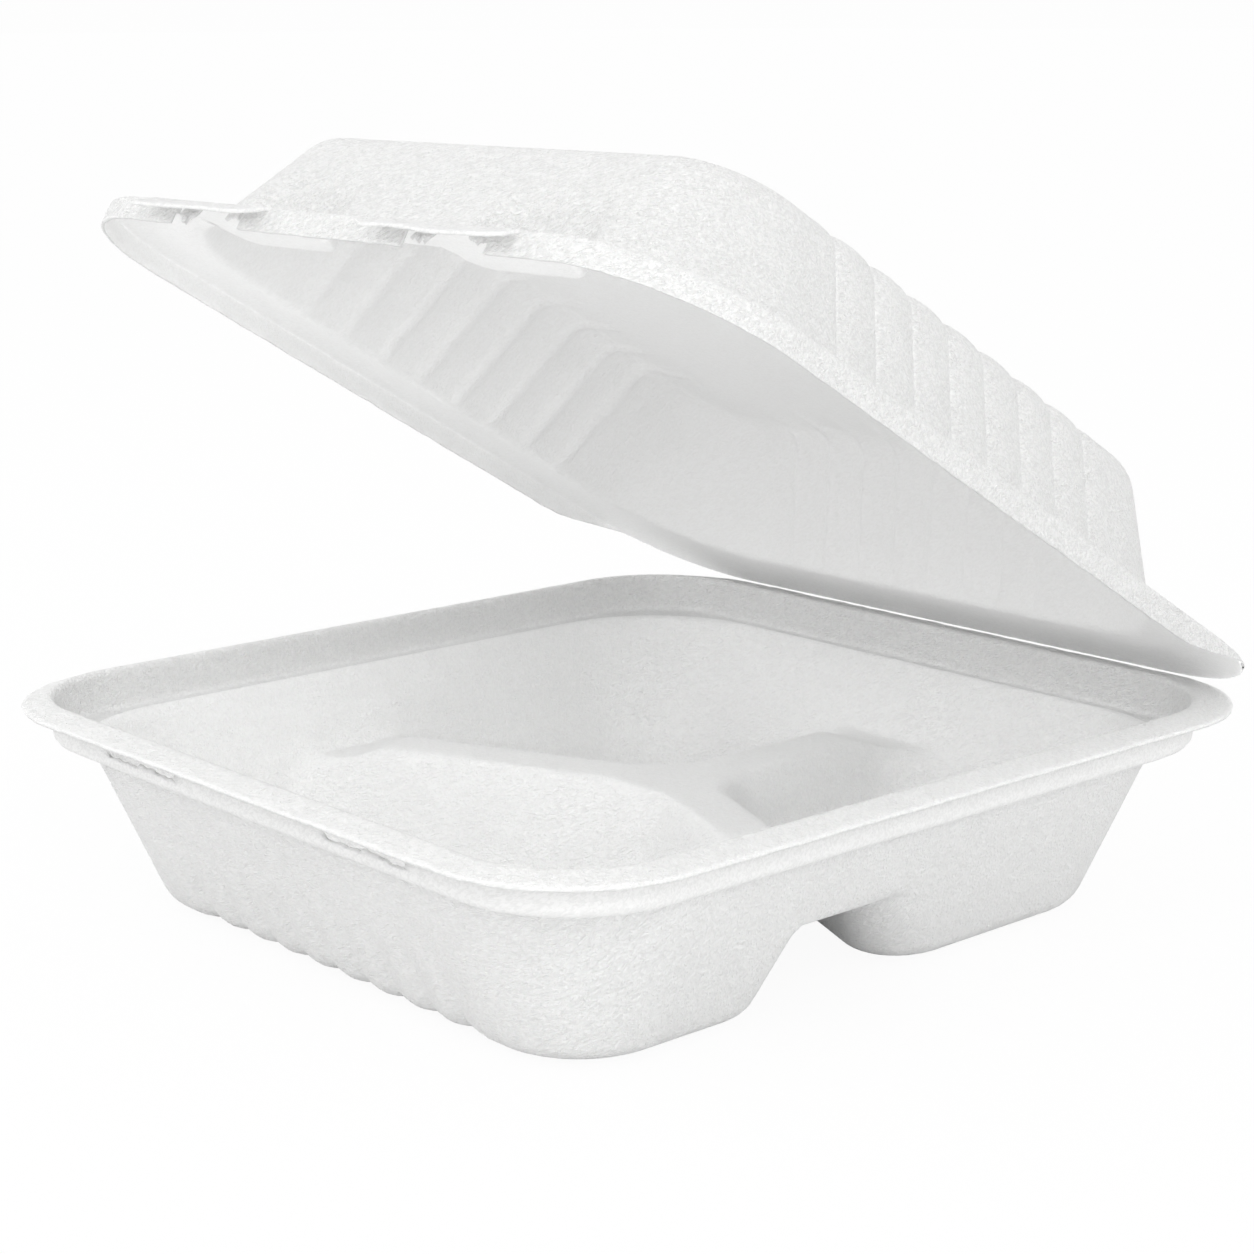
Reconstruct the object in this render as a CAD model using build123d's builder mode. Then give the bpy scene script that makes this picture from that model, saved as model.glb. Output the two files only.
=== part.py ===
import os
from math import atan, cos, degrees, radians, tan

from build123d import *

os.makedirs("parts", exist_ok=True)

# Three-compartment clamshell of moulded sugarcane pulp, in millimetres.
# X runs across the box, +Y points at the hinge, Z is up.
# The origin is on the table, under the middle of the open box.

# Pulp sheet
wall = 0.8
overrun = 5.0

# Rim of the base: a ridge, with a lip that falls away outside it
ridge_width = 192.0
ridge_depth = 202.0
ridge_height = 48.0
ridge_corner = 27.0
ridge_bevel = 1.1
lip_reach = 5.6
hinge_reach = 9.0
lip_drop = 1.8

# Shoulder band under the ridge, with a ledge below it
shoulder_set = 1.0
shoulder_height = 10.4
ledge_width = 3.2
ledge_bevel_share = 0.375

# Drafted wall down to the foot, which is set in from the ridge
foot_set = 20.7
foot_corner = 20.0
floor_round = 8.0
floor_steps = 3

# Hollow dividers: a Y of three arms that meet behind the middle
junction_back = 16.7
arm_slope = 22.8
divider_draft = 25.0
divider_height = 24.7
divider_top = 12.0
divider_round = 4.0
divider_steps = 2
junction_round = 8.0
saddle_drop = 3.2
saddle_length = 12.0

# Flutes: narrow valleys between flat panels, in the base's front wall and in the lid
flute_depth = 0.9
flute_width = 8.0
front_flute_count = 9
front_flute_height = 30.0
lid_flute_count = 8
flute_run = 14.0

# Latch: two slots in the front shoulder, two tabs on the lid
latch_spacing_share = 0.4115
slot_width = 26.0
slot_height = 2.6
slot_drop = 4.6
tab_width = 41.0
tab_reach = 7.0
tab_corner = 3.0
skirt_gap = 24.0

# Lid
lid_clearance = 0.3
skirt_clearance = 0.5
skirt_height = 4.4
skirt_trim = 24.0
lid_height = 32.0
dome_side_set = 8.0
dome_front_set = 7.0
dome_corner = 36.0
dome_draft = 27.5
top_round = 9.0
top_steps = 2
scoop_width = 36.0
scoop_depth = 9.0
scoop_corner = 8.0
open_angle = 30.5

# Places that the base and the lid share
ledge_height = ridge_height - shoulder_height
wall_draft = degrees(atan((foot_set - shoulder_set - ledge_width) / ledge_height))
foot_width = ridge_width - 2 * foot_set
foot_depth = ridge_depth - 2 * foot_set
dome_width = ridge_width - 2 * dome_side_set
dome_depth = ridge_depth - 2 * dome_front_set
rim_middle = (lip_reach - hinge_reach) / 2
hinge_back = rim_middle + ridge_depth / 2 + hinge_reach
lip_back = hinge_back - lid_clearance / 2
lip_front = rim_middle - ridge_depth / 2 - lip_reach
hinge_height = ridge_height - lip_drop + lid_clearance / 2
hinge_axis = Axis((0, hinge_back, hinge_height), (1, 0, 0))
latch_places = [side * ridge_width * latch_spacing_share / 2 for side in (-1, 1)]


def centred(width, depth, corner):
    """A rounded outline about the middle of the rim: width, front, back and corner."""
    return (width, rim_middle - depth / 2, rim_middle + depth / 2, corner)


def grown(outline, margin, back_margin):
    """An outline made wider by a margin at its front and sides, and by another at its back."""
    width, front, back, corner = outline
    return (width + 2 * margin, front - margin, back + back_margin, corner + margin)


def draw_outline(outline):
    """Draw a rounded outline in the open sketch."""
    width, front, back, corner = outline
    with Locations((0, (front + back) / 2)):
        RectangleRounded(width, back - front, corner)


def stack(*levels):
    """A solid through rounded outlines, each given with its height."""
    with BuildPart() as solid:
        for height, outline in levels:
            with BuildSketch(Plane.XY.offset(height)):
                draw_outline(outline)
        loft(ruled=True)
    return solid.part


def draft_growth(height, draft, inset):
    """How far a drafted wall stands out at a height, less the slant of the sheet."""
    return height * tan(radians(draft)) - inset / cos(radians(draft))


def bend(radius, low, high, count):
    """Height and draft of each flat step of a round that turns between two slopes, in degrees from level."""
    turn = (high - low) / count
    slopes = [low + turn * step for step in range(count + 1)]
    return [
        (radius * abs(cos(radians(first)) - cos(radians(second))), 90 - (first + second) / 2)
        for first, second in zip(slopes, slopes[1:])
    ]


def bend_height(radius, slope):
    """Height that a round takes up between level and a slope."""
    return radius * (1 - cos(radians(slope)))


def rise(form, steps):
    """Carry the open sketch, and then each new top face, up through steps of height and taper."""
    for count, (height, taper) in enumerate(steps):
        extrude(form.faces().sort_by(Axis.Z)[-1] if count else None, amount=height, taper=taper)


def flute(start, corner, end, turn, radius):
    """A cutter for one flute, whose valley turns a rounded corner and fades at its end."""
    cut_back = radius * (tan(radians(turn / 2)) - tan(radians(turn / 4)))
    first = corner + (start - corner).normalized() * cut_back
    second = corner + (end - corner).normalized() * cut_back
    half = flute_width / 2
    with BuildLine() as path:
        Polyline(start, first, second, end)
    with BuildPart() as cutter:
        with BuildSketch(Plane(origin=start, x_dir=(1, 0, 0), z_dir=first - start)) as section:
            Polygon((-half, -overrun), (half, -overrun), (half, 0), (0, flute_depth), (-half, 0), align=None)
        sweep(section.sketch, path=path.line, transition=Transition.RIGHT)
    return cutter.part


ridge_outline = centred(ridge_width, ridge_depth, ridge_corner)
shoulder_outline = grown(ridge_outline, -shoulder_set, -shoulder_set)
foot_outline = centred(foot_width, foot_depth, foot_corner)
lip_outline = (ridge_width + 2 * lip_reach, lip_front, lip_back, ridge_corner + lip_reach)
dome_outline = centred(dome_width, dome_depth, dome_corner)
lid_outline = grown(lip_outline, skirt_clearance + wall, 0)
lid_hollow_outline = grown(lip_outline, skirt_clearance, lid_clearance / 2)
flange_height = ridge_height + lid_clearance
lid_edge = flange_height + wall - lip_drop
lid_front = lip_front - skirt_clearance - wall
tab_slope = lip_drop / (lip_reach + skirt_clearance + wall)

# Arms of the dividers, with their turn and their length at the foot
junction = (0, rim_middle + junction_back, 0)
wall_lean = divider_height * tan(radians(wall_draft))
end_lean = divider_height * tan(radians(divider_draft)) + floor_round - saddle_length
side_arm = (foot_width / 2 + wall_lean) / cos(radians(arm_slope)) + end_lean
back_arm = foot_depth / 2 + wall_lean - junction_back + end_lean
arms = ((90, back_arm), (-arm_slope, side_arm), (180 + arm_slope, side_arm))


def divider_width(inset):
    """Width of an arm at its foot: of the hollow under it, or of its inside when set in by the sheet."""
    spread = (divider_height - inset) * tan(radians(divider_draft)) + inset / cos(radians(divider_draft))
    return divider_top + 2 * (spread + (floor_round - inset) * tan(radians((90 - divider_draft) / 2)))


def raise_divider(hollow, inset, height):
    """Carry the open plan up through a flared foot, drafted sides and a round top."""
    slope = 90 - divider_draft
    foot_radius = floor_round - inset
    top_radius = divider_round + inset
    straight = height - bend_height(foot_radius, slope) - bend_height(top_radius, slope)
    foot = bend(foot_radius, 0, slope, divider_steps)
    top = bend(top_radius, slope, 0, divider_steps)
    rise(hollow, [(overrun, 0), *foot, (straight, divider_draft), *top])


def divider_hollow(inset):
    """The hollow of the Y, whose arms stop short of the walls."""
    with BuildPart() as hollow:
        with BuildSketch(Plane.XY.offset(inset - overrun)) as plan:
            for angle, arm in arms:
                with Locations(Location(junction, (0, 0, angle))):
                    Rectangle(arm, divider_width(inset), align=(Align.MIN, Align.CENTER))
            fillet(plan.vertices().sort_by_distance(junction)[:3], junction_round)
        raise_divider(hollow, inset, divider_height)
    return hollow.part


def saddle(inset):
    """The lower hollow that carries an arm on through the wall."""
    with BuildPart() as hollow:
        with BuildSketch(Plane.XY.offset(inset - overrun)):
            with Locations((back_arm / 2, 0)):
                Rectangle(ridge_depth, divider_width(inset), align=(Align.MIN, Align.CENTER))
        raise_divider(hollow, inset, divider_height - saddle_drop)
    return hollow.part


def front_flute(inset):
    """One flute of the front wall, from under the floor up to where it fades."""
    reach = foot_depth / 2 - rim_middle
    top = reach + draft_growth(front_flute_height, wall_draft, inset) + flute_depth
    return flute(
        Vector(0, flute_run - reach, inset - flute_depth),
        Vector(0, -reach - draft_growth(inset, wall_draft, inset), inset),
        Vector(0, -top, front_flute_height),
        90 - wall_draft,
        floor_round - inset,
    )


def base_form(inset):
    """The solid form of the base up to its rim: the outside, or the inside when set in by the sheet."""
    slope = 90 - wall_draft
    radius = floor_round - inset
    margin = draft_growth(inset, wall_draft, inset) - radius * tan(radians(slope / 2))
    with BuildPart() as form:
        with BuildSketch(Plane.XY.offset(inset)):
            draw_outline(grown(foot_outline, margin, margin))
        straight = ledge_height - bend_height(radius, slope)
        steps = [*bend(radius, 0, slope, floor_steps), (straight, wall_draft)]
        rise(form, [(height, -draft) for height, draft in steps])
        add(divider_hollow(inset), mode=Mode.SUBTRACT)
        arm_end = saddle(inset)
        with Locations(*[Location(junction, (0, 0, angle)) for angle, arm in arms]):
            add(arm_end, mode=Mode.SUBTRACT)
        with BuildSketch(Plane.XY.offset(ledge_height + inset)):
            draw_outline(grown(shoulder_outline, -inset, -inset))
        extrude(amount=shoulder_height)
        ledge = form.faces().sort_by(lambda face: abs(face.center().Z - ledge_height - inset))[0]
        chamfer(ledge.outer_wire().edges(), ledge_width * ledge_bevel_share)
        pitch = (foot_width - 2 * foot_corner) / (front_flute_count + 1)
        with GridLocations(pitch, 0, front_flute_count, 1):
            add(front_flute(inset), mode=Mode.SUBTRACT)
    return form.part


def dish(lift, outline, depth):
    """A flat top over the ridge, a slope down to an outline, and a straight side below it."""
    edge = ridge_height - lip_drop + lift
    return stack((edge - depth, outline), (edge, outline), (ridge_height + lift, ridge_outline))


# Base tray with its three compartments, ledge, ridge and lip
with BuildPart() as lip:
    add(dish(0, lip_outline, wall))
    add(dish(-wall, lip_outline, wall), mode=Mode.SUBTRACT)

with BuildPart() as base:
    add(base_form(0))
    add(lip.part)
    add(base_form(wall), mode=Mode.SUBTRACT)
    ridge_front = rim_middle - ridge_depth / 2
    with Locations(*[(place, ridge_front, ridge_height - slot_drop) for place in latch_places]):
        Box(
            slot_width,
            overrun,
            slot_height,
            align=(Align.CENTER, Align.CENTER, Align.MAX),
            mode=Mode.SUBTRACT,
        )
    chamfer(base.faces().sort_by(Axis.Z)[-1].inner_wires()[0].edges(), ridge_bevel)
base.part.label = "base"
export_step(base.part, "parts/base.step")


def lid_flute(reach, inset):
    """One flute of a lid wall, from the flange over the top edge to where it fades on the top."""
    slope = tan(radians(dome_draft))
    foot = inset / cos(radians(dome_draft)) - reach
    top = lid_height - inset
    return flute(
        Vector(0, foot - overrun * slope, flange_height - overrun),
        Vector(0, foot + top * slope, flange_height + top),
        Vector(0, foot + top * slope + flute_run, flange_height + top + flute_depth),
        90 - dome_draft,
        top_round - inset,
    )


def dome_form(inset):
    """The solid form of the lid's dome: the outside, or the inside when set in by the sheet."""
    slant = inset / cos(radians(dome_draft))
    slope = 90 - dome_draft
    radius = top_round - inset
    with BuildPart() as form:
        with BuildSketch(Plane.XY.offset(flange_height)):
            draw_outline(grown(dome_outline, -slant, -slant))
        straight = lid_height - inset - bend_height(radius, slope)
        rise(form, [(straight, dome_draft), *bend(radius, slope, 0, top_steps)])
        for turn, length, reach in (
            (90, dome_depth, dome_width / 2),
            (180, dome_width, dome_depth / 2),
            (270, dome_depth, dome_width / 2),
        ):
            valley = lid_flute(reach, inset)
            pitch = (length - 2 * dome_corner) / (lid_flute_count + 1)
            with Locations(Location((0, rim_middle, 0), (0, 0, turn))):
                with GridLocations(pitch, 0, lid_flute_count, 1):
                    add(valley, mode=Mode.SUBTRACT)
        with BuildSketch(Plane.XY.offset(flange_height)):
            with Locations(*[(place, rim_middle - dome_depth / 2) for place in latch_places]):
                RectangleRounded(scoop_width + 2 * inset, 2 * (scoop_depth + inset), scoop_corner + inset)
        extrude(amount=lid_height, mode=Mode.SUBTRACT)
    return form.part


# Lid, built shut and then swung open about the crease
with BuildPart() as tab:
    with BuildSketch(Plane.YZ):
        with BuildLine():
            Polyline(
                (lid_front + wall, lid_edge + wall * tab_slope),
                (lid_front - tab_reach, lid_edge - tab_reach * tab_slope),
                (lid_front - tab_reach, lid_edge - tab_reach * tab_slope - wall),
                (lid_front + wall, lid_edge + wall * tab_slope - wall),
                close=True,
            )
        make_face()
    extrude(amount=tab_width / 2, both=True)
    fillet(tab.faces().sort_by(Axis.Y)[0].edges().filter_by(Axis.Z), tab_corner)

with BuildPart() as shut_lid:
    add(dome_form(0))
    add(dish(wall + lid_clearance, lid_outline, skirt_height + wall))
    add(dome_form(wall), mode=Mode.SUBTRACT)
    add(dish(lid_clearance, lid_hollow_outline, skirt_height + overrun), mode=Mode.SUBTRACT)
    with Locations((0, lip_back - skirt_trim, lid_edge - wall)):
        Box(
            ridge_width * 2,
            ridge_depth,
            skirt_height + overrun,
            align=(Align.CENTER, Align.MIN, Align.MAX),
            mode=Mode.SUBTRACT,
        )
    with Locations(*[(place, lid_front, lid_edge - wall) for place in latch_places]):
        Box(
            skirt_gap,
            overrun,
            skirt_height + overrun,
            align=(Align.CENTER, Align.CENTER, Align.MAX),
            mode=Mode.SUBTRACT,
        )
    with Locations(*[(place, 0, 0) for place in latch_places]):
        add(tab.part)

with BuildPart() as lid:
    add(shut_lid.part.rotate(hinge_axis, -open_angle))
lid.part.label = "lid"
export_step(lid.part, "parts/lid.step")
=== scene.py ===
import math

import bmesh
import bpy
from mathutils import Matrix, Vector, noise


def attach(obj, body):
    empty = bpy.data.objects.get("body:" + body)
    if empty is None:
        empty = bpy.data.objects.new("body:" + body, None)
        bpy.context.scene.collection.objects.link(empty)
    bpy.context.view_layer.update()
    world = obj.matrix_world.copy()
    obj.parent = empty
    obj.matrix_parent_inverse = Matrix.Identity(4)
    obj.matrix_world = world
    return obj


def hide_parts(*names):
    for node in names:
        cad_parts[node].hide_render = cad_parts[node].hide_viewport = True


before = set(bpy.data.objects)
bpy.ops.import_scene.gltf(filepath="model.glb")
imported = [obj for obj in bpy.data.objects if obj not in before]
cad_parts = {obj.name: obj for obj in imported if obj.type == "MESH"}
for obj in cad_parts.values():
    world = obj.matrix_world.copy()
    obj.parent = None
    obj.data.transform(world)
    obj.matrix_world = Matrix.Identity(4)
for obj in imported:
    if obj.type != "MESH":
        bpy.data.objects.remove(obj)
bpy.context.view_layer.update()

# Sizes of the moulding in millimetres, as in the solids.
# Shells are shaped in millimetres and scaled at the end.
METRE = 0.001
SHEET = 0.8
RIM_MIDDLE = -1.7
RIDGE_HALF_WIDTH = 96.0
RIDGE_HALF_DEPTH = 101.0
RIDGE_HEIGHT = 48.0
RIDGE_CORNER = 27.0
LIP_REACH = 5.6
LIP_BACK = 108.15
LIP_DROP = 1.8
LIP_SHARES = (0.25, 0.45, 0.65, 0.85, 1.0)
EDGE_FRAY = 0.35
SHOULDER_SET = 1.0
LEDGE_HEIGHT = 37.6
LEDGE_WIDTH = 3.2
FOOT_SET = 20.7
FOOT_CORNER = 20.0
FLOOR_ROUND = 8.0
WALL_DRAFT = math.atan((FOOT_SET - SHOULDER_SET - LEDGE_WIDTH) / LEDGE_HEIGHT)

# Curves of the base's section: share of the way or margin outward, and rise
LEDGE_CURVE = ((0.02, -0.55), (0.12, -0.16), (0.3, 0.0), (0.52, 0.06), (0.74, 0.16), (0.92, 0.5), (1.0, 1.2))
RIDGE_CURVE = ((-1.64, -1.2), (-1.48, -0.66), (-1.15, -0.24), (-0.65, -0.04), (-0.05, 0.0), (0.5, -0.1))

# Dividers
JUNCTION = Vector((0.0, 15.0))
ARM_SLOPE = math.radians(22.8)
DIVIDER_DRAFT = math.radians(25.0)
DIVIDER_HEIGHT = 24.7
DIVIDER_TOP = 12.0
DIVIDER_ROUND = 2.8
JUNCTION_ROUND = 11.0
FRONT_CORNER = 3.5
BACK_CORNER = 15.0
SADDLE_ROUND = 4.0
WALL_REACH = 32.0
SADDLE_DROP = 3.6
SADDLE_LENGTH = 15.0
SADDLE_REST = 5.0
ARMS = (
    (math.pi / 2.0, 71.9, BACK_CORNER),
    (-ARM_SLOPE, 91.4, FRONT_CORNER),
    (math.pi + ARM_SLOPE, 91.4, FRONT_CORNER),
)

# Latch
LATCH_PLACES = (-39.5, 39.5)
SLOT_HALF = 13.0
SLOT_LOW = 40.8
SLOT_MIDDLE = 41.9
SLOT_HIGH = 43.4
SHOULDER_BAND = (40.2, SLOT_LOW, SLOT_MIDDLE, SLOT_HIGH, 44.4, 45.4, 46.2)
SHOULDER_FLARE = 0.02
SLOT_FLAP_PLACE = 2.0
SLOT_FLAP_HALF = 2.4
SLOT_FLAP_BEND = Vector((0.0, -0.9, -0.2))
TAB_HALF = 20.5
TAB_REACH = 7.0
TAB_ROOT = 5.0
TAB_CORNER = 3.0
TAB_BEND = math.radians(31.0)
SKIRT_GAP_HALF = 12.0

# Scraps of torn skirt beside each tab: place along the edge, width, drop and curl
TORN_FLAPS = ((-6.0, 5.0, 3.0, 1.2), (9.5, 4.0, 2.2, 0.5))

# Lid, shaped shut and swung open about the crease
LID_CLEARANCE = 0.3
SKIRT_CLEARANCE = 0.5
SKIRT_HEIGHT = 4.4
SKIRT_TAPER = (50.0, 14.0)
LID_HEIGHT = 32.0
DOME_SIDE_SET = 8.0
DOME_FRONT_SET = 7.0
DOME_CORNER = 36.0
DOME_DRAFT = math.radians(27.5)
TOP_ROUND = 9.0
SCOOP_HALF = 18.0
SCOOP_DEPTH = 9.0
SCOOP_CORNER = 8.0
OPEN_ANGLE = math.radians(30.5)
HINGE = Vector((0.0, 108.3, 46.35))
FLANGE_TOP = RIDGE_HEIGHT + LID_CLEARANCE + SHEET
LID_EDGE = FLANGE_TOP - LIP_DROP

# Curves of the lid's section: shares of the way outward, and drops
FLANGE_SHARES = (0.18, 0.4, 0.65, 0.88)
RIM_CURVE = ((0.1, 0.08), (0.35, 0.45), (0.6, 0.92), (0.8, 1.35), (0.92, 1.7), (0.985, 2.1))
SKIRT_DROPS = (0.9, 1.8, 2.8, 3.8, SKIRT_HEIGHT + SHEET)

# Steps of the shells' grids: half a corner, then the straights, which fit the flutes
HALF_CORNER = 12
BASE_STEPS = (124, 134)
LID_STEPS = (123, 132)
FRONT_FLUTE_STEPS = 10
FRONT_FLUTE_REACH = 4
SIDE_FLUTE_STEPS = 12
BACK_FLUTE_STEPS = 11
LID_FLUTE_REACH = 3.5
STEP_LENGTH = 1.08
FLUTE_RUN = 14.0
FRONT_FLUTE_TOP = 32.0
FRONT_FLUTE_FADE = (6.0, 31.0)
FRONT_FLUTE_DEPTH = 1.7
FRONT_FLUTE_WIDTH = 2.4
LID_FLUTE_DEPTH = 1.7
LID_FLUTE_WIDTH = 1.5
LID_FLUTE_END = 0.6
LID_FLUTE_FOOT = 3.0
PANEL_SWELL = 0.4

# Stage: shares of white that the camera sees on the floor and around, and the light of the surround
FLOOR_SEEN = 0.94
SURROUND_SEEN = 0.985
SURROUND_LIGHT = 0.97
CAMERA_AIM = Vector((-0.0462, 0.0416, 0.0482))
CAMERA_TURN = math.radians(48.11)
CAMERA_RISE = math.radians(12.9)
CAMERA_ROLL = math.radians(-0.13)
CAMERA_DISTANCE = 0.6582
CAMERA_LENS = 76.6


def ease(value, low, high):
    """Goes smoothly from 0 at low to 1 at high."""
    share = min(max((value - low) / (high - low), 0.0), 1.0)
    return share * share * (3.0 - 2.0 * share)


def blend_low(first, second, soft):
    """The lower of two values, rounded where they are near each other."""
    near = max(soft - abs(first - second), 0.0) / soft
    return min(first, second) - near * near * soft / 4.0


def blend_high(first, second, soft):
    """The higher of two values, rounded where they are near each other."""
    return -blend_low(-first, -second, soft)


def outline(half_width, half_depth, corner):
    """A rounded outline about the middle of the rim: half width, front, back and corner."""
    return (half_width, RIM_MIDDLE - half_depth, RIM_MIDDLE + half_depth, corner)


def grown(shape, margin):
    """An outline made larger all round."""
    half, front, back, corner = shape
    return (half + margin, front - margin, back + margin, corner + margin)


def between(first, second, share):
    """An outline part of the way from one to another."""
    return tuple(a + (b - a) * share for a, b in zip(first, second))


RIDGE = outline(RIDGE_HALF_WIDTH, RIDGE_HALF_DEPTH, RIDGE_CORNER)
FOOT = outline(RIDGE_HALF_WIDTH - FOOT_SET, RIDGE_HALF_DEPTH - FOOT_SET, FOOT_CORNER)
SHOULDER = grown(RIDGE, -SHOULDER_SET - SHEET)
LIP = (RIDGE_HALF_WIDTH + LIP_REACH, RIDGE[1] - LIP_REACH, LIP_BACK, RIDGE_CORNER + LIP_REACH)
DOME = outline(RIDGE_HALF_WIDTH - DOME_SIDE_SET, RIDGE_HALF_DEPTH - DOME_FRONT_SET, DOME_CORNER)
LID_RIM = (
    LIP[0] + SKIRT_CLEARANCE + SHEET,
    LIP[1] - SKIRT_CLEARANCE - SHEET,
    LIP_BACK,
    LIP[3] + SKIRT_CLEARANCE + SHEET,
)


def station(step, steps, low, high, corner):
    """Place along a side of an outline, and how far it is set back there, for a step of the grid's edge."""
    if step < HALF_CORNER:
        turn = math.pi / 4.0 * (1.0 - step / HALF_CORNER)
        return low + corner * (1.0 - math.sin(turn)), corner * (1.0 - math.cos(turn))
    if step > steps - HALF_CORNER:
        turn = math.pi / 4.0 * (1.0 - (steps - step) / HALF_CORNER)
        return high - corner * (1.0 - math.sin(turn)), corner * (1.0 - math.cos(turn))
    share = (step - HALF_CORNER) / (steps - 2 * HALF_CORNER)
    return low + corner + share * (high - low - 2.0 * corner), 0.0


def edge_point(column, line, steps, shape):
    """Point of an outline that belongs to a place on the edge of the grid."""
    half, front, back, corner = shape
    if line in (0, steps[1]):
        along, setback = station(column, steps[0], -half, half, corner)
        return Vector((along, front + setback if line == 0 else back - setback))
    along, setback = station(line, steps[1], front, back, corner)
    return Vector((setback - half if column == 0 else half - setback, along))


def floor_point(column, line, steps, shape):
    """Point inside an outline, spread evenly between its four sides."""
    across, along = column / steps[0], line / steps[1]
    sides = (
        edge_point(column, 0, steps, shape) * (1.0 - along)
        + edge_point(column, steps[1], steps, shape) * along
        + edge_point(0, line, steps, shape) * (1.0 - across)
        + edge_point(steps[0], line, steps, shape) * across
    )
    corners = (
        edge_point(0, 0, steps, shape) * (1.0 - across) * (1.0 - along)
        + edge_point(steps[0], 0, steps, shape) * across * (1.0 - along)
        + edge_point(0, steps[1], steps, shape) * (1.0 - across) * along
        + edge_point(steps[0], steps[1], steps, shape) * across * along
    )
    return sides - corners


class Shell:
    """A sheet that grows ring by ring from a flat grid: each vertex keeps its column, line and ring."""

    def __init__(self, steps, rings):
        self.steps = steps
        self.rings = rings
        self.mesh = bmesh.new()
        bmesh.ops.create_grid(self.mesh, x_segments=steps[0], y_segments=steps[1], size=0.5)
        self.column = self.mesh.verts.layers.int.new("column")
        self.line = self.mesh.verts.layers.int.new("line")
        self.ring = self.mesh.verts.layers.int.new("ring")
        for vert in self.mesh.verts:
            vert[self.column] = round((vert.co.x + 0.5) * steps[0])
            vert[self.line] = round((vert.co.y + 0.5) * steps[1])
        edge = [item for item in self.mesh.edges if item.is_boundary]
        for number in range(1, len(rings)):
            made = bmesh.ops.extrude_edge_only(self.mesh, edges=edge)["geom"]
            for vert in made:
                if isinstance(vert, bmesh.types.BMVert):
                    vert[self.ring] = number
            edge = [item for item in made if isinstance(item, bmesh.types.BMEdge) and item.is_boundary]
        for vert in self.mesh.verts:
            shape, height, _ = rings[vert[self.ring]]
            find = edge_point if vert[self.ring] else floor_point
            vert.co = find(vert[self.column], vert[self.line], steps, shape).to_3d()
            vert.co.z = height

    def side(self, vert):
        """The side nearest to a vertex: its outward direction, the step along it and the steps from it."""
        column, line = vert[self.column], vert[self.line]
        gaps = (
            (line, Vector((0.0, -1.0, 0.0)), column),
            (self.steps[0] - column, Vector((1.0, 0.0, 0.0)), line),
            (self.steps[1] - line, Vector((0.0, 1.0, 0.0)), column),
            (column, Vector((-1.0, 0.0, 0.0)), line),
        )
        gap, out, step = min(gaps, key=lambda item: item[0])
        return out, step, gap

    def face_up(self):
        """Turn all faces the same way, with the flat of the grid facing up."""
        bmesh.ops.recalc_face_normals(self.mesh, faces=self.mesh.faces)
        flat = max(self.mesh.faces, key=lambda face: abs(face.normal.z))
        if flat.normal.z < 0.0:
            bmesh.ops.reverse_faces(self.mesh, faces=self.mesh.faces)

    def lean(self, vert):
        """Slope from level of the ring that a vertex is on."""
        return self.rings[vert[self.ring]][2]


# Base shell: its inner and upper face

def tray_rings():
    """Floor, round, wall, ledge, shoulder, ridge and lip, each as an outline, a height and a slope."""
    slope = math.pi / 2.0 - WALL_DRAFT
    radius = FLOOR_ROUND - SHEET
    slant = SHEET / math.cos(WALL_DRAFT)
    start = SHEET * math.tan(WALL_DRAFT) - slant - radius * math.tan(slope / 2.0)
    rings = []
    for step in range(8):
        turn = slope * step / 7.0
        height = SHEET + radius * (1.0 - math.cos(turn))
        rings.append((grown(FOOT, start + radius * math.sin(turn)), height, turn))
    low, high = rings[-1][1], LEDGE_HEIGHT - 0.7
    for step in range(1, 24):
        height = low + (high - low) * step / 23.0
        rings.append((grown(FOOT, height * math.tan(WALL_DRAFT) - slant), height, slope))
    wall_top = grown(FOOT, (LEDGE_HEIGHT + SHEET) * math.tan(WALL_DRAFT) - slant)
    for share, rise in LEDGE_CURVE:
        rings.append((between(wall_top, SHOULDER, share), LEDGE_HEIGHT + SHEET + rise, 0.0))
    for height in SHOULDER_BAND:
        rings.append((grown(SHOULDER, (height - LEDGE_HEIGHT) * SHOULDER_FLARE), height, 0.0))
    for margin, rise in RIDGE_CURVE:
        rings.append((grown(RIDGE, margin), RIDGE_HEIGHT + rise, 0.0))
    for share in LIP_SHARES:
        rings.append((between(RIDGE, LIP, share), RIDGE_HEIGHT - LIP_DROP * share, 0.0))
    return rings


def slope_height(reach):
    """Height of a pocket's side at a distance beyond its foot line: floor, round and drafted slope."""
    slope = math.pi / 2.0 - WALL_DRAFT
    radius = FLOOR_ROUND - SHEET
    start = -radius * math.tan(slope / 2.0)
    if reach <= start:
        return SHEET
    if reach < start + radius * math.sin(slope):
        return SHEET + radius - math.sqrt(radius * radius - (reach - start) ** 2)
    return SHEET + reach / math.tan(WALL_DRAFT)


def wall_reach(point):
    """Distance of a point of the plan beyond the foot line of the outer wall."""
    margin = SHEET * math.tan(WALL_DRAFT) - SHEET / math.cos(WALL_DRAFT)
    half, front, back, corner = grown(FOOT, margin)
    across = abs(point.x) - half + corner
    along = abs(point.y - RIM_MIDDLE) - (back - front) / 2.0 + corner
    outside = Vector((max(across, 0.0), max(along, 0.0))).length
    return outside + min(max(across, along), 0.0) - corner


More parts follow.
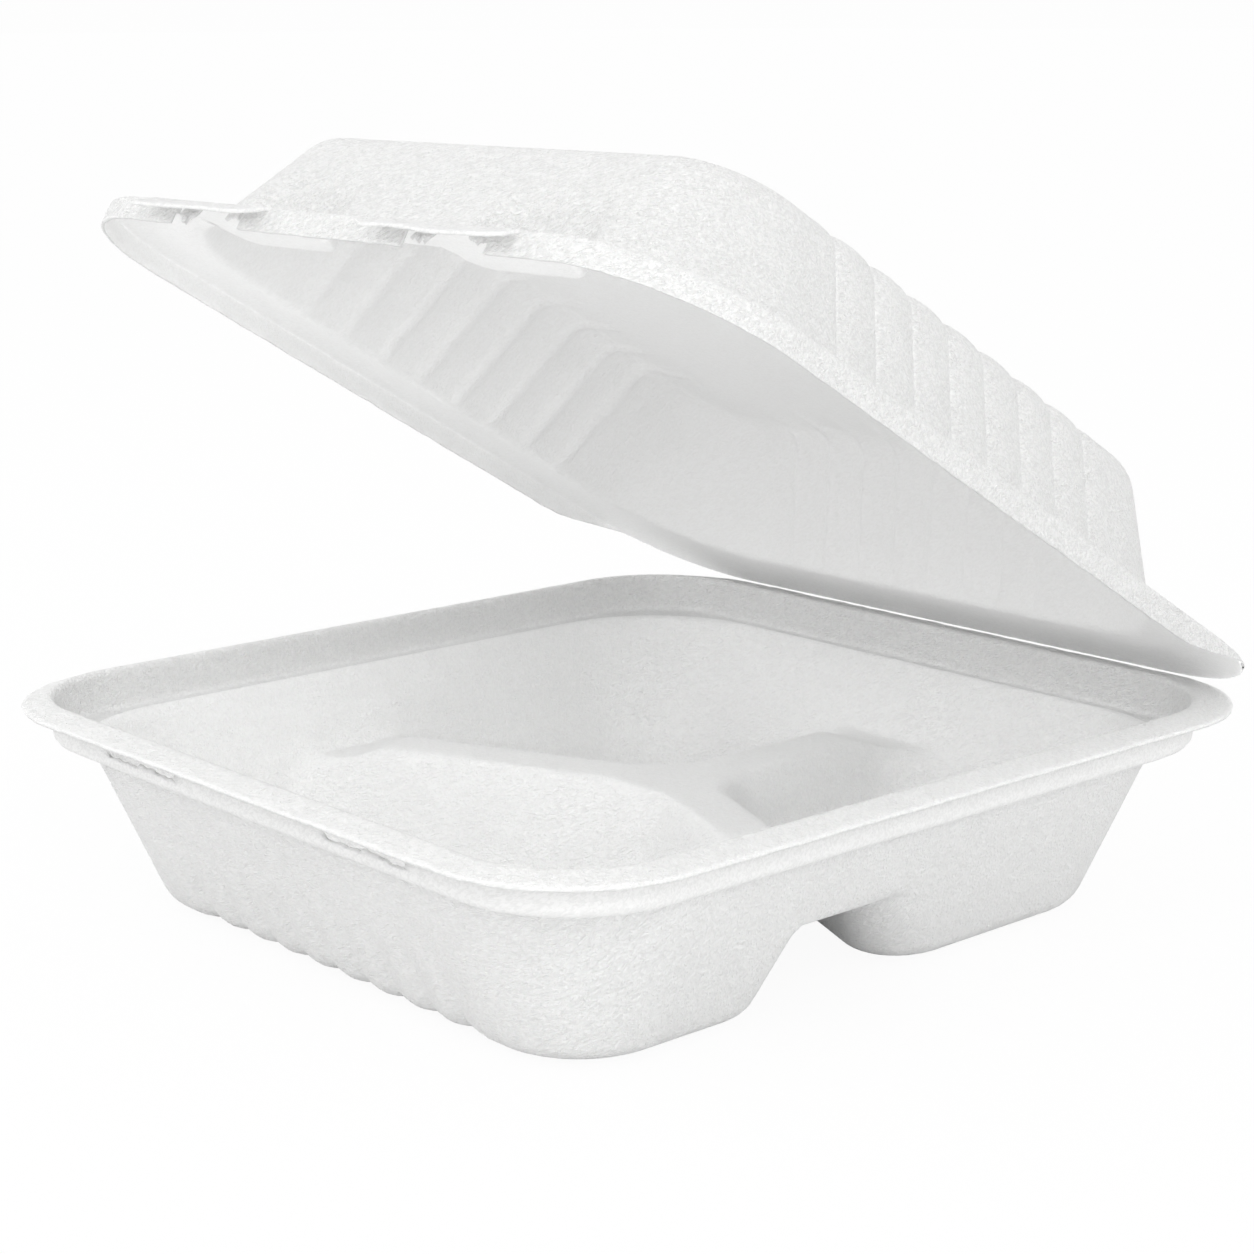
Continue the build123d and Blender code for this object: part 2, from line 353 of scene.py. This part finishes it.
def divider_reach(point):
    """Distance beyond the dividers' foot lines, the round of the pocket's corner and the height there."""
    gap, nearest = None, None
    for turn, reach, front_round in ARMS:
        along_arm = Vector((math.cos(turn), math.sin(turn)))
        offset = point - JUNCTION
        along = offset.dot(along_arm)
        away = abs(offset.cross(along_arm)) if along > 0.0 else offset.length
        gap = away if gap is None else blend_low(gap, away, JUNCTION_ROUND)
        if nearest is None or away < nearest:
            nearest = away
            in_front = offset.y < along * along_arm.y
            corner = front_round if in_front else BACK_CORNER
            end = reach - SADDLE_REST
            top = DIVIDER_HEIGHT - SADDLE_DROP * ease(along, end - SADDLE_LENGTH, end)
    crest = DIVIDER_TOP / 2.0 + SHEET / math.cos(DIVIDER_DRAFT)
    foot = crest + (DIVIDER_HEIGHT - SHEET) * math.tan(DIVIDER_DRAFT)
    steepness = math.tan(WALL_DRAFT) / math.tan(DIVIDER_DRAFT)
    return (foot - gap) * steepness, corner, top


def round_high(first, second, radius):
    """The higher of two values, with an arc between them."""
    apart = abs(first - second)
    if apart >= radius:
        return max(first, second)
    return (first + second) / 2.0 + radius - math.sqrt(2.0 * radius * radius - apart * apart) / 2.0


def raise_dividers(shell):
    """Lift the floor and the walls to the dividers, with rounded corners beside the walls."""
    for vert in shell.mesh.verts:
        if vert.co.z > WALL_REACH:
            continue
        wall = wall_reach(vert.co.xy)
        divider, corner, top = divider_reach(vert.co.xy)
        side = slope_height(wall)
        pocket = slope_height(round_high(wall, divider, corner))
        height = blend_low(pocket, top, DIVIDER_ROUND)
        soft = SADDLE_ROUND * ease(pocket - side, 0.0, SADDLE_ROUND)
        height = blend_high(height, side, soft) if soft > 0.01 else max(height, side)
        vert.co.z = max(vert.co.z, height)


def press_front_flutes(shell):
    """Press the shallow flutes into the front wall, so that they scallop its foot and fade upwards."""
    middle = shell.steps[0] / 2.0
    pitch = FRONT_FLUTE_STEPS * STEP_LENGTH
    for vert in shell.mesh.verts:
        out, step, gap = shell.side(vert)
        if out.y > -0.5 or vert.co.z > FRONT_FLUTE_TOP:
            continue
        phase = (step - middle) / FRONT_FLUTE_STEPS
        valley = round(phase)
        if abs(valley) > FRONT_FLUTE_REACH:
            continue
        depth = FRONT_FLUTE_DEPTH * math.exp(-abs(phase - valley) * pitch / FRONT_FLUTE_WIDTH)
        fade = 1.0 - ease(vert.co.z, *FRONT_FLUTE_FADE) - min(gap * STEP_LENGTH / FLUTE_RUN, 1.0)
        if fade > 0.0:
            lean = shell.lean(vert)
            vert.co += depth * fade * (Vector((0.0, 0.0, math.cos(lean))) - out * math.sin(lean))


def tear_slots(shell):
    """Tear the two latch slots through the front of the shoulder, with ragged edges and a bent flap."""
    mesh = shell.mesh
    torn = []
    for face in mesh.faces:
        middle = face.calc_center_median()
        if middle.y > RIDGE[1] + 4.0 or not SLOT_LOW < middle.z < SLOT_HIGH:
            continue
        for place in LATCH_PLACES:
            inside = abs(middle.x - place) < SLOT_HALF
            flap = middle.z < SLOT_MIDDLE and abs(middle.x - place - SLOT_FLAP_PLACE) < SLOT_FLAP_HALF
            if inside and not flap:
                torn.append(face)
    rim = {vert for face in torn for vert in face.verts}
    bmesh.ops.delete(mesh, geom=torn, context="FACES")
    for vert in rim:
        if not vert.is_valid:
            continue
        grain = vert.co * 0.9
        vert.co.z += 0.55 * noise.noise(grain) + 0.3 * noise.noise(grain * 2.7)
        if vert[shell.ring] and SLOT_LOW + 0.5 < vert.co.z < SLOT_HIGH - 0.7:
            vert.co += SLOT_FLAP_BEND


def fray(shell, ring, amount):
    """Make the free edge of a sheet uneven, as trimmed pulp is."""
    for vert in shell.mesh.verts:
        if vert[shell.ring] != ring:
            continue
        away = Vector((vert.co.x, vert.co.y - RIM_MIDDLE, 0.0)).normalized()
        uneven = noise.noise(vert.co * 0.12) + 0.6 * noise.noise(vert.co * 0.5)
        uneven += 0.5 * noise.noise(vert.co * 1.4)
        lift = Vector((0.0, 0.0, 0.5 * amount * noise.noise(vert.co * 0.3)))
        vert.co += away * min(amount * uneven, 0.0) + lift


def base_shell():
    """The tray with its three compartments."""
    shell = Shell(BASE_STEPS, tray_rings())
    press_front_flutes(shell)
    raise_dividers(shell)
    fray(shell, len(shell.rings) - 1, EDGE_FRAY)
    tear_slots(shell)
    shell.face_up()
    # Faces below the ledge take the tray's inside colour, painted lighter to make up for the shade inside
    # the tray; the shoulder, ridge and lip take the darker colour of the outside.
    for face in shell.mesh.faces:
        above_ledge = face.calc_center_median().z > LEDGE_HEIGHT + SHEET
        face.material_index = 1 if above_ledge else 0
    return shell.mesh


# Lid shell: its outer and upper face, shaped shut

def dome_rings():
    """Top, round, drafted wall, fold, flange, slope and skirt, each as an outline, a height and a slope."""
    slope = math.pi / 2.0 - DOME_DRAFT
    top = RIDGE_HEIGHT + LID_CLEARANCE + LID_HEIGHT
    start = -LID_HEIGHT * math.tan(DOME_DRAFT) - TOP_ROUND * math.tan(slope / 2.0)
    rings = []
    for step in range(9):
        turn = slope * step / 8.0
        margin = start + TOP_ROUND * math.sin(turn)
        rings.append((grown(DOME, margin), top - TOP_ROUND * (1.0 - math.cos(turn)), turn))
    high, low = rings[-1][1], FLANGE_TOP + 1.1
    for step in range(1, 24):
        height = high + (low - high) * step / 23.0
        margin = (RIDGE_HEIGHT + LID_CLEARANCE - height) * math.tan(DOME_DRAFT)
        rings.append((grown(DOME, margin), height, slope))
    foot = grown(DOME, -SHEET * math.tan(DOME_DRAFT))
    rings.append((grown(foot, -0.1), FLANGE_TOP + 0.5, 0.8))
    rings.append((grown(foot, 0.45), FLANGE_TOP + 0.13, 0.35))
    for share in FLANGE_SHARES:
        rings.append((between(foot, RIDGE, share), FLANGE_TOP, 0.0))
    for share, drop in RIM_CURVE:
        rings.append((between(RIDGE, LID_RIM, share), FLANGE_TOP - drop, 0.0))
    for drop in SKIRT_DROPS:
        rings.append((LID_RIM, LID_EDGE - drop, math.pi / 2.0))
    return rings


def press_lid_flutes(shell):
    """Press narrow valleys between panels into the right, left and back walls and over the top edge."""
    for vert in shell.mesh.verts:
        out, step, gap = shell.side(vert)
        if out.y < -0.5 or vert.co.z < FLANGE_TOP + 0.05:
            continue
        back = out.y > 0.5
        pitch = BACK_FLUTE_STEPS if back else SIDE_FLUTE_STEPS
        phase = (step - shell.steps[0 if back else 1] / 2.0) / pitch
        valley = math.floor(phase) + 0.5
        if abs(valley) > LID_FLUTE_REACH:
            valley = math.copysign(LID_FLUTE_REACH, phase)
        away = abs(phase - valley) * pitch * STEP_LENGTH
        panel = PANEL_SWELL * (1.0 - ease(abs(phase), LID_FLUTE_REACH, LID_FLUTE_REACH + LID_FLUTE_END))
        depth = LID_FLUTE_DEPTH * math.exp(-away / LID_FLUTE_WIDTH) - panel
        fade = 1.0 - min(gap * STEP_LENGTH / FLUTE_RUN, 1.0)
        fade *= ease(vert.co.z, FLANGE_TOP, FLANGE_TOP + LID_FLUTE_FOOT)
        lean = shell.lean(vert)
        vert.co -= depth * fade * (out * math.sin(lean) + Vector((0.0, 0.0, math.cos(lean))))


def scoop_reach(x):
    """How far a finger scoop reaches into the front wall at a place across the lid."""
    away = min(abs(x - place) for place in LATCH_PLACES)
    bend = min(max(away - SCOOP_HALF + SCOOP_CORNER, 0.0), SCOOP_CORNER)
    reach = SCOOP_DEPTH - SCOOP_CORNER + math.sqrt(SCOOP_CORNER ** 2 - bend ** 2)
    return reach - 3.0 * max(away - SCOOP_HALF, 0.0)


def press_scoops(shell):
    """Press the two finger scoops into the front wall of the dome."""
    for vert in shell.mesh.verts:
        if vert.co.z > FLANGE_TOP - 0.05 and vert.co.y < DOME[1] + 2.0 * SCOOP_DEPTH:
            reach = DOME[1] + scoop_reach(vert.co.x)
            dome_side = ease(vert.co.y, RIDGE[1] + 0.5, DOME[1])
            vert.co.y += dome_side * (blend_high(vert.co.y, reach, 2.4) - vert.co.y)


def trim_skirt(shell):
    """Run the skirt out towards the crease, and tear it away under the tabs."""
    first = next(number for number, ring in enumerate(shell.rings) if ring[2] > 1.5)
    for vert in shell.mesh.verts:
        if vert[shell.ring] >= first - 1:
            keep = 1.0 - ease(vert.co.y, LIP_BACK - SKIRT_TAPER[0], LIP_BACK - SKIRT_TAPER[1])
            vert.co.z = LID_EDGE + (vert.co.z - LID_EDGE) * keep
    torn = []
    for face in shell.mesh.faces:
        if min(vert[shell.ring] for vert in face.verts) < first:
            continue
        middle = face.calc_center_median()
        ragged = SKIRT_GAP_HALF + 1.3 * noise.noise(Vector((middle.z * 0.9, middle.x, 3.0)))
        front = middle.y < RIDGE[1] and min(abs(middle.x - place) for place in LATCH_PLACES) < ragged
        if front or middle.y > LIP_BACK - SKIRT_TAPER[1] - 1.0:
            torn.append(face)
    bmesh.ops.delete(shell.mesh, geom=torn, context="FACES")


def add_tab(mesh, place):
    """A tongue that carries the flange on beyond the front edge, with an uneven free edge."""
    fresh = bmesh.ops.create_grid(mesh, x_segments=38, y_segments=12, size=0.5)["verts"]
    slope = LIP_DROP / (LID_RIM[0] - RIDGE_HALF_WIDTH)
    bent = math.tan(TAB_BEND) - slope
    for vert in fresh:
        across, out = vert.co.x * 2.0, TAB_REACH - (vert.co.y + 0.5) * (TAB_REACH + TAB_ROOT)
        bend = max(out - TAB_REACH + TAB_CORNER, 0.0)
        half = TAB_HALF - TAB_CORNER + math.sqrt(max(TAB_CORNER ** 2 - bend ** 2, 0.0))
        x = place + across * half
        uneven = noise.noise(Vector((x * 0.25, place, 1.0)))
        uneven += 0.6 * noise.noise(Vector((x * 0.9, place, 5.0)))
        tip = ease(out, 0.0, TAB_REACH)
        out += 0.35 * uneven * tip
        sag = 0.5 * tip * noise.noise(Vector((x * 0.07, place, 9.0)))
        fall = out * slope + bent * max(out, 0.0) * ease(out, -1.0, 3.0)
        vert.co = Vector((x, LID_RIM[1] - out, LID_EDGE + 0.06 - fall + sag))


def add_torn_flap(mesh, place, width, drop, curl):
    """A scrap of torn skirt that hangs from the front edge."""
    fresh = bmesh.ops.create_grid(mesh, x_segments=8, y_segments=6, size=0.5)["verts"]
    for vert in fresh:
        x = place + vert.co.x * width
        share = 0.5 - vert.co.y
        ragged = 0.7 * noise.noise(Vector((x * 0.8, place, 2.0)))
        ragged += 0.4 * noise.noise(Vector((x * 2.1, place, 4.0)))
        fall = share * drop * (1.0 + ragged)
        vert.co = Vector((x, LID_RIM[1] + 0.1 - curl * share * share, LID_EDGE - 0.5 - fall))


def lid_shell():
    """The dome with its flange, skirt and tabs, swung open to where it rests."""
    shell = Shell(LID_STEPS, dome_rings())
    press_lid_flutes(shell)
    press_scoops(shell)
    fray(shell, len(shell.rings) - 1, EDGE_FRAY)
    trim_skirt(shell)
    shell.face_up()
    mesh = shell.mesh
    for place in LATCH_PLACES:
        add_tab(mesh, place)
        for offset, width, drop, curl in TORN_FLAPS:
            add_torn_flap(mesh, place + offset, width, drop, curl)
    swing = Matrix.Rotation(-OPEN_ANGLE, 3, "X")
    bmesh.ops.rotate(mesh, verts=mesh.verts, cent=HINGE, matrix=swing)
    return mesh


def finish_shell(mesh, name, materials):
    """Turn a shell into a piece of the sheet's thickness, in metres."""
    bmesh.ops.scale(mesh, vec=Vector((METRE, METRE, METRE)), verts=mesh.verts)
    for face in mesh.faces:
        face.smooth = True
    data = bpy.data.meshes.new(name)
    mesh.to_mesh(data)
    mesh.free()
    piece = bpy.data.objects.new(name, data)
    bpy.context.collection.objects.link(piece)
    for material in materials:
        data.materials.append(material)
    sheet = piece.modifiers.new("sheet", "SOLIDIFY")
    sheet.thickness = SHEET * METRE
    sheet.offset = -1.0
    sheet.use_rim = True
    # The sheet's other side takes the next material: the lid's inside, painted lighter against its shade,
    # and the tray's outside, painted darker.
    sheet.material_offset = 1
    sheet.material_offset_rim = 2
    return piece


# Materials

def node(tree, kind, place, **values):
    """A node of a material, with its plain settings and socket values."""
    made = tree.nodes.new(kind)
    made.location = place
    for key, value in values.items():
        if hasattr(made, key):
            setattr(made, key, value)
        else:
            made.inputs[key.replace("_", " ")].default_value = value
    return made


def pulp(name, light, pit_grain_and_shade, grain, felt, through):
    """Moulded pulp: off-white, with a felt-like grain and a soft unevenness in relief; its faint mottle
    follows the grain, darker in the pits, partly the pulp's own tone and partly painted shade.
    """
    material = bpy.data.materials.new(name)
    material.use_nodes = True
    tree = material.node_tree
    shader = tree.nodes["Principled BSDF"]
    shader.subsurface_method = "BURLEY"
    shader.inputs["Roughness"].default_value = 0.9
    shader.inputs["Specular IOR Level"].default_value = 0.25
    shader.inputs["Subsurface Weight"].default_value = through
    shader.inputs["Subsurface Radius"].default_value = (1.0, 1.0, 1.0)
    shader.inputs["Subsurface Scale"].default_value = 0.0014
    where = node(tree, "ShaderNodeTexCoord", (-1200, 0))
    stretch = node(tree, "ShaderNodeMapping", (-1000, -200), vector_type="TEXTURE")
    stretch.inputs["Scale"].default_value = (2.6, 1.0, 1.0)
    stretch.inputs["Rotation"].default_value = (0.0, -0.43, 0.38)
    tree.links.new(where.outputs["Object"], stretch.inputs["Vector"])

    fibre = node(tree, "ShaderNodeTexNoise", (-800, -200), Scale=1700.0, Detail=1.5)
    fibre.inputs["Roughness"].default_value = 0.5
    fibre.inputs["Distortion"].default_value = 0.8
    tree.links.new(stretch.outputs["Vector"], fibre.inputs["Vector"])
    uneven = node(tree, "ShaderNodeTexNoise", (-800, -500), Scale=130.0, Detail=2.0)
    tree.links.new(where.outputs["Object"], uneven.inputs["Vector"])

    # Fibre tone: darker where the grain's height is low and lighter on its ridges, partly the pulp's own
    # grain and partly painted shade in the pits.
    grain_and_pit_shade = node(tree, "ShaderNodeValToRGB", (-500, 200))
    grain_and_pit_shade.color_ramp.elements[0].position = 0.4
    grain_and_pit_shade.color_ramp.elements[0].color = (*pit_grain_and_shade, 1.0)
    grain_and_pit_shade.color_ramp.elements[1].position = 0.58
    grain_and_pit_shade.color_ramp.elements[1].color = (*light, 1.0)
    tree.links.new(fibre.outputs["Fac"], grain_and_pit_shade.inputs["Fac"])
    tree.links.new(grain_and_pit_shade.outputs["Color"], shader.inputs["Base Color"])

    swell = node(tree, "ShaderNodeBump", (-500, -500), Strength=0.5, Distance=felt)
    tree.links.new(uneven.outputs["Fac"], swell.inputs["Height"])
    weave = node(tree, "ShaderNodeBump", (-250, -300), Strength=0.7, Distance=grain)
    tree.links.new(fibre.outputs["Fac"], weave.inputs["Height"])
    tree.links.new(swell.outputs["Normal"], weave.inputs["Normal"])
    tree.links.new(weave.outputs["Normal"], shader.inputs["Normal"])
    return material


# Stage

def studio_floor():
    """A plain white floor that keeps a faint shadow."""
    mesh = bmesh.new()
    bmesh.ops.create_grid(mesh, x_segments=2, y_segments=2, size=30.0)
    data = bpy.data.meshes.new("studio_floor")
    mesh.to_mesh(data)
    mesh.free()
    floor = bpy.data.objects.new("studio_floor", data)
    floor.location.z = -0.0002
    bpy.context.collection.objects.link(floor)
    material = bpy.data.materials.new("floor_white")
    material.use_nodes = True
    tree = material.node_tree
    tree.nodes.remove(tree.nodes["Principled BSDF"])
    output = tree.nodes["Material Output"]
    matt = node(tree, "ShaderNodeBsdfDiffuse", (-300, 100), Color=(0.86, 0.86, 0.86, 1.0))
    glow = node(tree, "ShaderNodeEmission", (-300, -100), Color=(1.0, 1.0, 1.0, 1.0), Strength=1.0)
    path = node(tree, "ShaderNodeLightPath", (-700, 300))
    share = node(tree, "ShaderNodeMath", (-500, 300), operation="MULTIPLY")
    share.inputs[1].default_value = FLOOR_SEEN
    seen = node(tree, "ShaderNodeMixShader", (0, 0))
    tree.links.new(path.outputs["Is Camera Ray"], share.inputs[0])
    tree.links.new(share.outputs["Value"], seen.inputs["Fac"])
    tree.links.new(matt.outputs["BSDF"], seen.inputs[1])
    tree.links.new(glow.outputs["Emission"], seen.inputs[2])
    tree.links.new(seen.outputs["Shader"], output.inputs["Surface"])
    data.materials.append(material)


def studio_world():
    """An even grey-white surround for the light, seen as white."""
    world = bpy.data.worlds.new("studio")
    world.use_nodes = True
    bpy.context.scene.world = world
    tree = world.node_tree
    back = tree.nodes["Background"]
    back.inputs["Color"].default_value = (1.0, 1.0, 1.0, 1.0)
    path = node(tree, "ShaderNodeLightPath", (-600, 0))
    level = node(tree, "ShaderNodeMapRange", (-300, 0))
    level.inputs["To Min"].default_value = SURROUND_LIGHT
    level.inputs["To Max"].default_value = SURROUND_SEEN
    tree.links.new(path.outputs["Is Camera Ray"], level.inputs["Value"])
    tree.links.new(level.outputs["Result"], back.inputs["Strength"])


def soft_lamp(name, place, aim, size, power):
    """A square soft box that looks at a point."""
    data = bpy.data.lights.new(name, "AREA")
    data.size = size
    data.energy = power
    lamp = bpy.data.objects.new(name, data)
    lamp.location = place
    lamp.rotation_euler = (Vector(aim) - Vector(place)).to_track_quat("-Z", "Y").to_euler()
    bpy.context.collection.objects.link(lamp)


def photo_camera():
    """The camera at the photo's place, with its eye, aim, roll and lens."""
    level = math.cos(CAMERA_RISE)
    back = Vector((math.sin(CAMERA_TURN) * level, -math.cos(CAMERA_TURN) * level, math.sin(CAMERA_RISE)))
    eye = CAMERA_AIM + CAMERA_DISTANCE * back
    data = bpy.data.cameras.new("photo_camera")
    data.sensor_width = 36.0
    data.lens = CAMERA_LENS
    data.clip_start = 0.01
    camera = bpy.data.objects.new("photo_camera", data)
    look = (CAMERA_AIM - eye).to_track_quat("-Z", "Y").to_matrix().to_4x4()
    camera.matrix_world = Matrix.Translation(eye) @ look @ Matrix.Rotation(CAMERA_ROLL, 4, "Z")
    bpy.context.collection.objects.link(camera)
    bpy.context.scene.camera = camera


# The lid's pressed inside is painted lighter to make up for the shade under the lid, and its felted outside
# darker where the lamps fall; the two sides' grains differ for real.
felted_painted_dim = pulp("felted_pulp_painted_dim", (0.87, 0.87, 0.867), (0.79, 0.79, 0.787), 0.003, 0.0003, 0.7)
pressed_painted_light = pulp("pressed_pulp_painted_light", (0.96, 0.96, 0.957), (0.93, 0.93, 0.926), 0.0003, 0.0003, 0.7)
# The tray's inside is painted lighter to make up for the shade that falls in it, and its outside darker
# where the lamps fall on it, though both are the same pulp.
tray_inside_painted_light = pulp("tray_inside_pulp_painted_light", (0.97, 0.97, 0.967), (0.94, 0.94, 0.937), 0.0014, 0.0003, 0.7)
tray_outside_painted_dim = pulp("tray_outside_pulp_painted_dim", (0.85, 0.85, 0.847), (0.81, 0.81, 0.807), 0.002, 0.0003, 0.7)
torn_edge = pulp("torn_edge_pulp", (0.87, 0.87, 0.866), (0.8, 0.8, 0.796), 0.0003, 0.0002, 0.0)

base = finish_shell(base_shell(), "base_moulding", (tray_inside_painted_light, tray_outside_painted_dim, torn_edge))
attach(base, "base_body")
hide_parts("base")

lid = finish_shell(lid_shell(), "lid_moulding", (felted_painted_dim, pressed_painted_light, torn_edge))
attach(lid, "lid_body")
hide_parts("lid")

studio_floor()
studio_world()
soft_lamp("left_box", (-0.8, -0.6, 0.5), (0.0, 0.0, 0.05), 0.4, 1.1)
soft_lamp("front_box", (0.15, -0.95, 0.8), (0.0, -0.02, 0.03), 0.5, 1.2)
soft_lamp("right_box", (1.05, -0.55, 0.6), (0.0, 0.0, 0.05), 0.7, 4.2)
photo_camera()
bpy.context.scene.view_settings.view_transform = "Standard"

bpy.context.view_layer.update()
